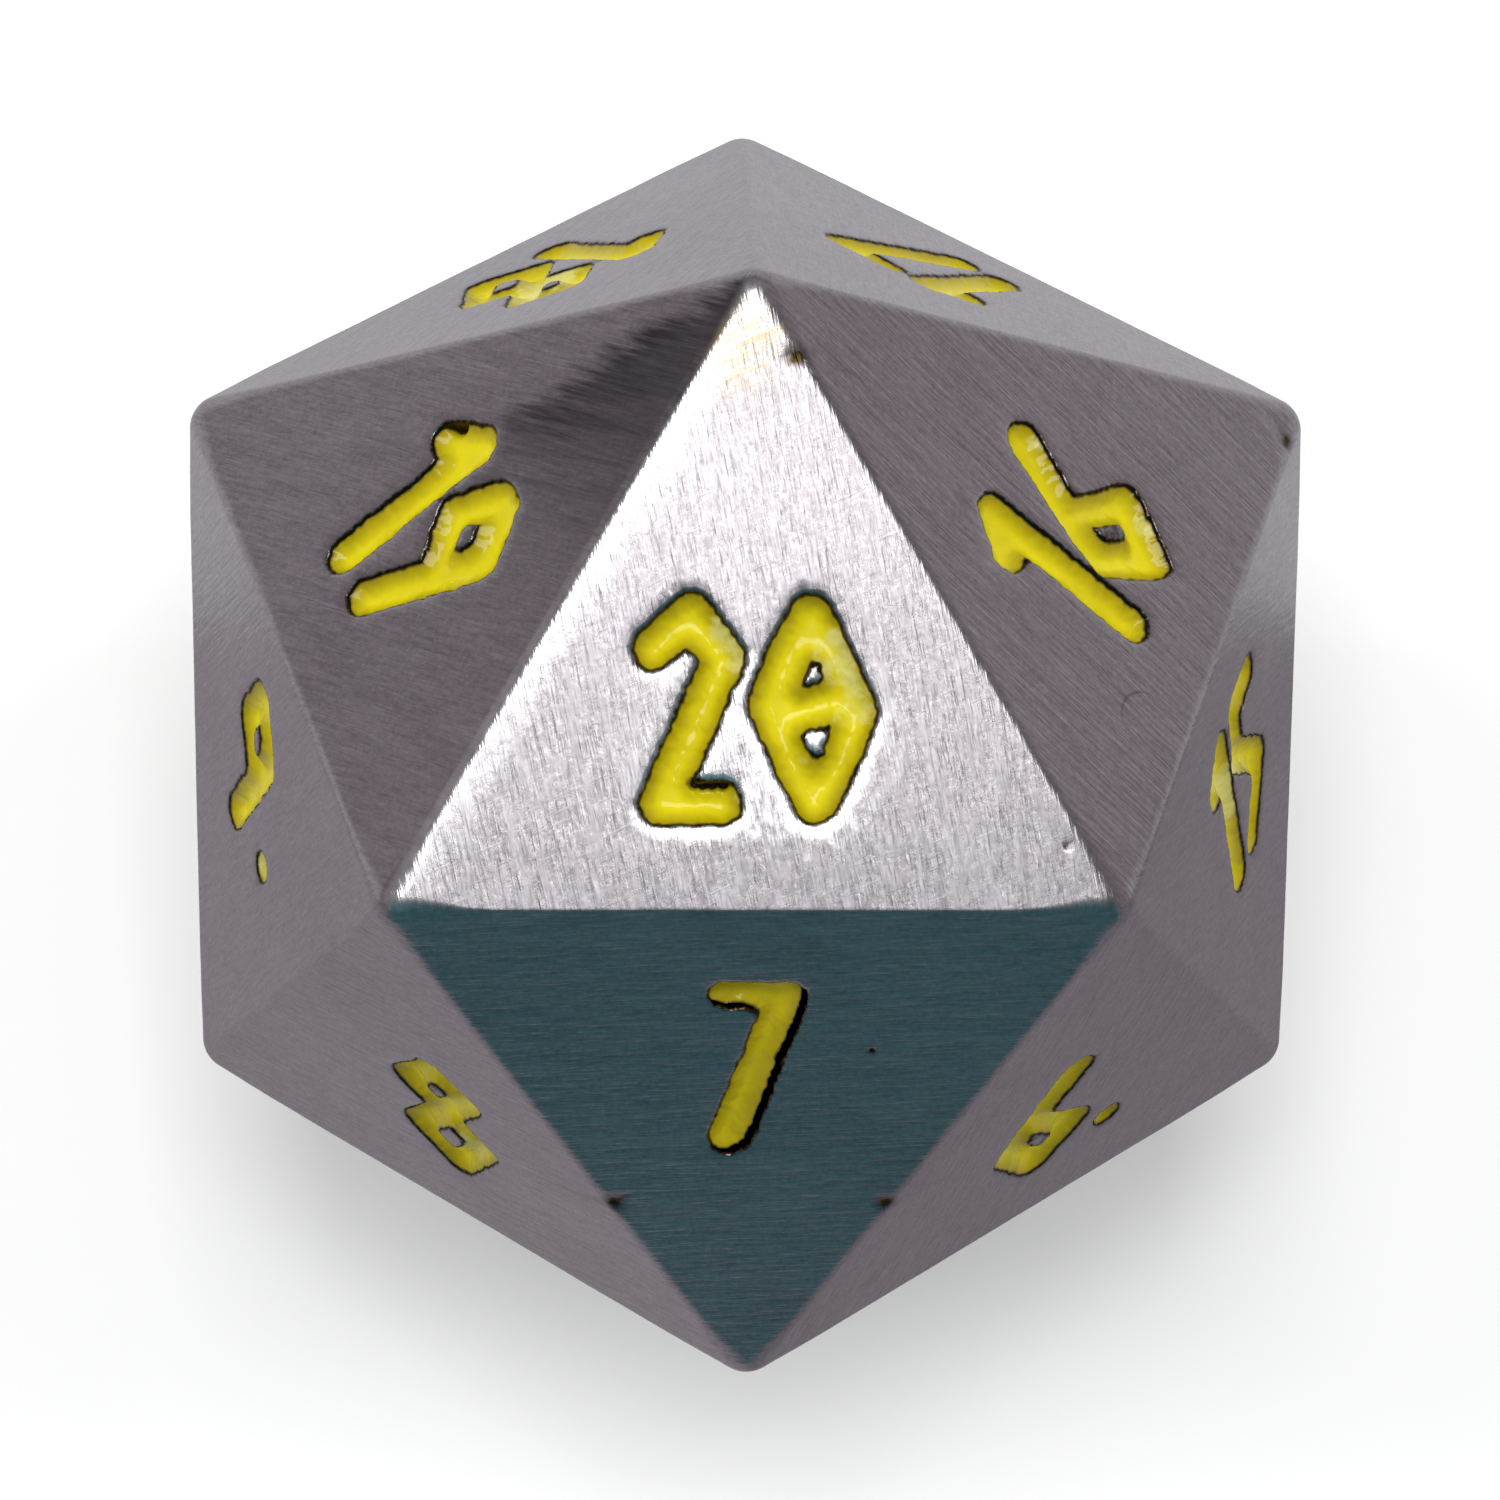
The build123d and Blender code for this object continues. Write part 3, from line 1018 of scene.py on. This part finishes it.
# %% [markdown]
# The die is one rigid object, so every piece rides on its one body. Each piece takes the
# place of the CAD piece it was worked out from.

# %% Finishes and the frame
body.data.materials.append(steel.material)
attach(body, "root")
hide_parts("die_body")
for name, inlay in inlays.items():
    inlay.data.materials.append(enamel.material)
    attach(inlay, "root")
    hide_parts(name)
print("pieces given to the frame", 1 + len(inlays))

# %% [markdown]
# The stage is a pale table, much wider than the view, so that no edge of it shows. It
# glows very faintly, so its shadows stay pale.


# %% The table
PALE = (0.9, 0.9, 0.9, 1)
BLACK = (0, 0, 0, 1)
UP = (0, 0, 1)
TABLE_WIDTH = 6


def matt(name, colour, glow_colour, glow):
    """A matt colour that also gives off light of a colour and a strength."""
    settings = {"Base Color": colour, "Roughness": 0.9}
    return Finish(name, {**settings, "Emission Color": glow_colour, "Emission Strength": glow}).material


def staged_plane(name, centre, size, facing, material):
    """A rectangle with its face turned towards a direction."""
    corners_2d = np.array([(-1, -1), (1, -1), (1, 1), (-1, 1)]) * np.array(size) / 2
    turn = Vector(facing).to_track_quat("Z", "Y").to_matrix()
    points = [turn @ Vector((x, y, 0)) + Vector(centre) for x, y in corners_2d]
    mesh = bpy.data.meshes.new(name)
    mesh.from_pydata(points, [], [(0, 1, 2, 3)])
    mesh.materials.append(material)
    plane = bpy.data.objects.new(name, mesh)
    bpy.context.scene.collection.objects.link(plane)
    return plane


table_size = (TABLE_WIDTH, TABLE_WIDTH)
floor = staged_plane("floor", (0, 0, 0), table_size, UP, matt("pale_table", PALE, PALE, 0.1))
print(floor.name, TABLE_WIDTH, "m wide")

# %% [markdown]
# Brushed metal shows what stands around it, so its tones come from cards that nothing but
# reflections can see. Dim ones stand at the sides, and a dark teal one in front gives the
# flat below the 20 its colour. Mats lie on the table for the flats that look down at it.

# %% Reflector cards and mats
MAT_HEIGHT = 0.3 * MM
die_middle = Vector((0, 0, flat_height * MM))


def reflector(name, centre, size, colour, facing=None):
    """A glowing card that only reflections see. It faces the die unless told otherwise."""
    glow = matt(name, BLACK, (*colour, 1), 1.0)
    card = staged_plane(name, centre, size, facing or die_middle - Vector(centre), glow)
    card.visible_camera = False
    card.visible_diffuse = False
    card.visible_shadow = False
    return card


reflectors = [
    reflector("teal_card", (0.0, -0.075, 0.07), (0.22, 0.17), (0.08, 0.22, 0.25)),
    reflector("left_card", (-0.3, 0.1, 0.10), (0.5, 0.22), (0.38, 0.33, 0.35)),
    reflector("right_card", (0.3, 0.1, 0.10), (0.5, 0.22), (0.45, 0.385, 0.41)),
    reflector("front_mat_left", (-0.25, -0.247, MAT_HEIGHT), (0.5, 0.5), (0.5, 0.465, 0.5), UP),
    reflector("front_mat_right", (0.25, -0.247, MAT_HEIGHT), (0.5, 0.5), (0.37, 0.34, 0.37), UP),
    reflector("back_mat", (0.0, 0.253, MAT_HEIGHT), (1.0, 0.5), (0.74, 0.73, 0.76), UP),
]
print("reflectors", len(reflectors))

# %% [markdown]
# One soft key light hangs above and a little behind, where the 20 reflects it up to the
# camera: that is why the 20 is almost white. Two fills soften the shadows from the sides,
# and the metal doesn't reflect them, or they would show as bright squares.


# %% Lights
def soft_light(name, place, size, power):
    """A square area light that faces the die."""
    lamp = bpy.data.lights.new(name, "AREA")
    lamp.size = size
    lamp.energy = power
    light = bpy.data.objects.new(name, lamp)
    light.location = place
    light.rotation_euler = (Vector(place) * -1).to_track_quat("-Z", "Y").to_euler()
    bpy.context.scene.collection.objects.link(light)
    return light


key = soft_light("key", (-0.02, 0.205, 0.60), size=0.3, power=2.05)
fills = [
    soft_light("fill_left", (-0.6, 0.26, 0.48), size=0.4, power=3.0),
    soft_light("fill_right", (0.6, 0.26, 0.48), size=0.4, power=2.8),
]
for fill in fills:
    fill.visible_glossy = False
print("lights", [light.name for light in (key, *fills)])

# %% [markdown]
# The room itself is a dim grey that lights the die evenly. Past the table's edge a pale
# backdrop looks better, so the world shows a paler grey to the camera's own rays.

# %% The room
ROOM_GREY = (0.30, 0.304, 0.312, 1)
BACKDROP_GREY = (0.86, 0.86, 0.87, 1)
world = bpy.data.worlds.new("studio")
world.use_nodes = True
room = Nodes(world.node_tree)
background = room.tree.nodes["Background"]
background.inputs["Color"].default_value = ROOM_GREY
backdrop = room.node("ShaderNodeBackground", {}, {"Color": BACKDROP_GREY})
seen = room.node("ShaderNodeLightPath").outputs["Is Camera Ray"]
either = {"Fac": seen, 1: background.outputs["Background"], 2: backdrop.outputs["Background"]}
shown = room.node("ShaderNodeMixShader", {}, either).outputs["Shader"]
room.feed(room.tree.nodes["World Output"].inputs["Surface"], shown)
bpy.context.scene.world = world
bpy.context.scene.view_settings.view_transform = "Standard"
print("room", len(room.tree.nodes), "nodes")

# %% [markdown]
# The camera is close, about eight edge lengths above the die's middle and a little in
# front of it, and looks almost straight down. A long lens keeps the near flat from
# swelling.

# %% The camera
CAMERA_PLACE = (-0.1532, -0.6199, 8.4)
CAMERA_AIM = (0.0086, -0.0172, 0.0)
place = Vector(CAMERA_PLACE) * edge_length
view = (Vector(CAMERA_AIM) * edge_length - place).normalized()
rightward = view.cross(Vector((0, 1, 0))).normalized()
turn = Matrix((rightward, rightward.cross(view), -view)).transposed()
camera_data = bpy.data.cameras.new("camera")
camera_data.lens = 137.2
camera_data.sensor_width = 36
camera_data.clip_start = 0.005
camera = bpy.data.objects.new("camera", camera_data)
camera.matrix_world = Matrix.Translation((place + Vector(middle)) * MM) @ turn.to_4x4()
bpy.context.scene.collection.objects.link(camera)
bpy.context.scene.camera = camera
print("camera", [round(value, 3) for value in camera.location])
